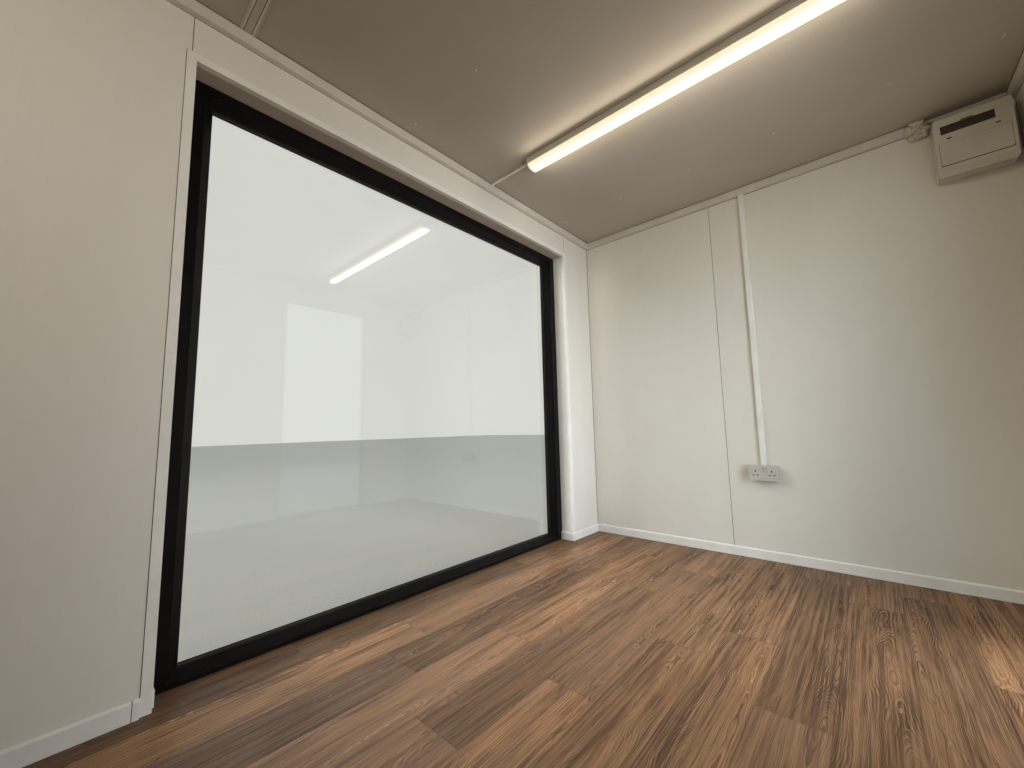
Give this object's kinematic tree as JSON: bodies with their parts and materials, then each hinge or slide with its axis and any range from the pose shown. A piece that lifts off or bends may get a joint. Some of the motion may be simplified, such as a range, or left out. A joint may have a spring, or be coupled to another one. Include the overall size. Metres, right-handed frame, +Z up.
{
  "type": "portable site cabin",
  "caption": "Lined steel module with one room, a full-height picture window and a hinged steel door, standing on its corner castings.",
  "frame": {"origin": "middle of the base twist-lock slots, on the ground", "axes": "+X along the cabin away from the end wall with the consumer unit, +Y towards the door wall, +Z up"},
  "size_m": [6.058, 3.3965, 2.591],
  "materials": {
    "steel_paint": "satin cream paint on pressed steel",
    "underframe_paint": "matt dark underframe paint",
    "plywood": "raw plywood",
    "plank_vinyl": "satin wood-effect sheet vinyl in plank pattern",
    "wall_board": "satin off-white vinyl-faced board",
    "sawn_timber": "sawn softwood",
    "ceiling_board": "matt off-white faced board",
    "white_trim": "white extruded plastic",
    "black_frame": "satin black powder coat on aluminium",
    "clear_glass": "clear double glazing",
    "dark_spacer": "dark sealed spacer",
    "socket_white": "glossy white moulding",
    "light_metal": "white stove enamel",
    "light_diffuser": "opal diffuser",
    "unit_white": "satin white moulding",
    "breaker_grey": "dark grey modules behind a tinted window",
    "white_tape": "creased white tape",
    "door_paint": "satin cream paint on steel",
    "threshold_metal": "worn mill finish",
    "hinge_steel": "zinc plated",
    "handle_metal": "satin anodised"
  },
  "bodies": {
    "cabin": {"base_rails": "steel_paint", "floor_cross_members": "underframe_paint", "corner_castings": "steel_paint", "corner_posts": "steel_paint", "top_rails": "steel_paint", "roof_sheet": "steel_paint", "window_wall_cladding": "steel_paint", "door_wall_cladding": "steel_paint", "header_cladding": "steel_paint", "end_wall_cladding": "steel_paint", "floor_deck": "plywood", "vinyl_floor": "plank_vinyl", "window_wall_lining": "wall_board", "door_wall_lining": "wall_board", "header_lining": "wall_board", "end_wall_lining": "wall_board", "ceiling_battens": "sawn_timber", "ceiling_panels": "ceiling_board", "ceiling_joint_strips": "white_trim", "ceiling_trunking_sides": "white_trim", "ceiling_trunking_ends": "white_trim", "skirting_sides": "white_trim", "skirting_ends": "white_trim", "window_surround_jambs": "steel_paint", "window_surround_rails": "steel_paint", "window_frame_jambs": "black_frame", "window_frame_rails": "black_frame", "glazing_beads": "black_frame", "window_glass": "clear_glass", "glass_spacer": "dark_spacer", "recess_jamb_boards": "white_trim", "recess_head_board": "white_trim", "corner_angles": "white_trim", "cable_trunking": "white_trim", "socket_box": "socket_white", "socket_plate": "socket_white", "socket_rockers": "socket_white", "light_bodies": "light_metal", "light_diffusers": "light_diffuser", "consumer_unit_box": "unit_white", "consumer_unit_cover": "unit_white", "consumer_unit_flap": "unit_white", "breaker_row": "breaker_grey", "taped_cable_entry": "white_tape", "door_frame_jambs": "door_paint", "door_frame_head": "door_paint", "door_threshold": "threshold_metal", "frame_hinges": "hinge_steel"},
    "door": {"door_leaf": "door_paint", "leaf_hinges": "hinge_steel", "door_handles": "handle_metal"}
  },
  "joints": [
    {"name": "door_swing", "type": "hinge", "parent": "cabin", "child": "door", "pos_m": [-1.5115, 1.239, 1.2], "axis": [0, 0, 1], "range_deg": [-25, 90]}
  ]
}
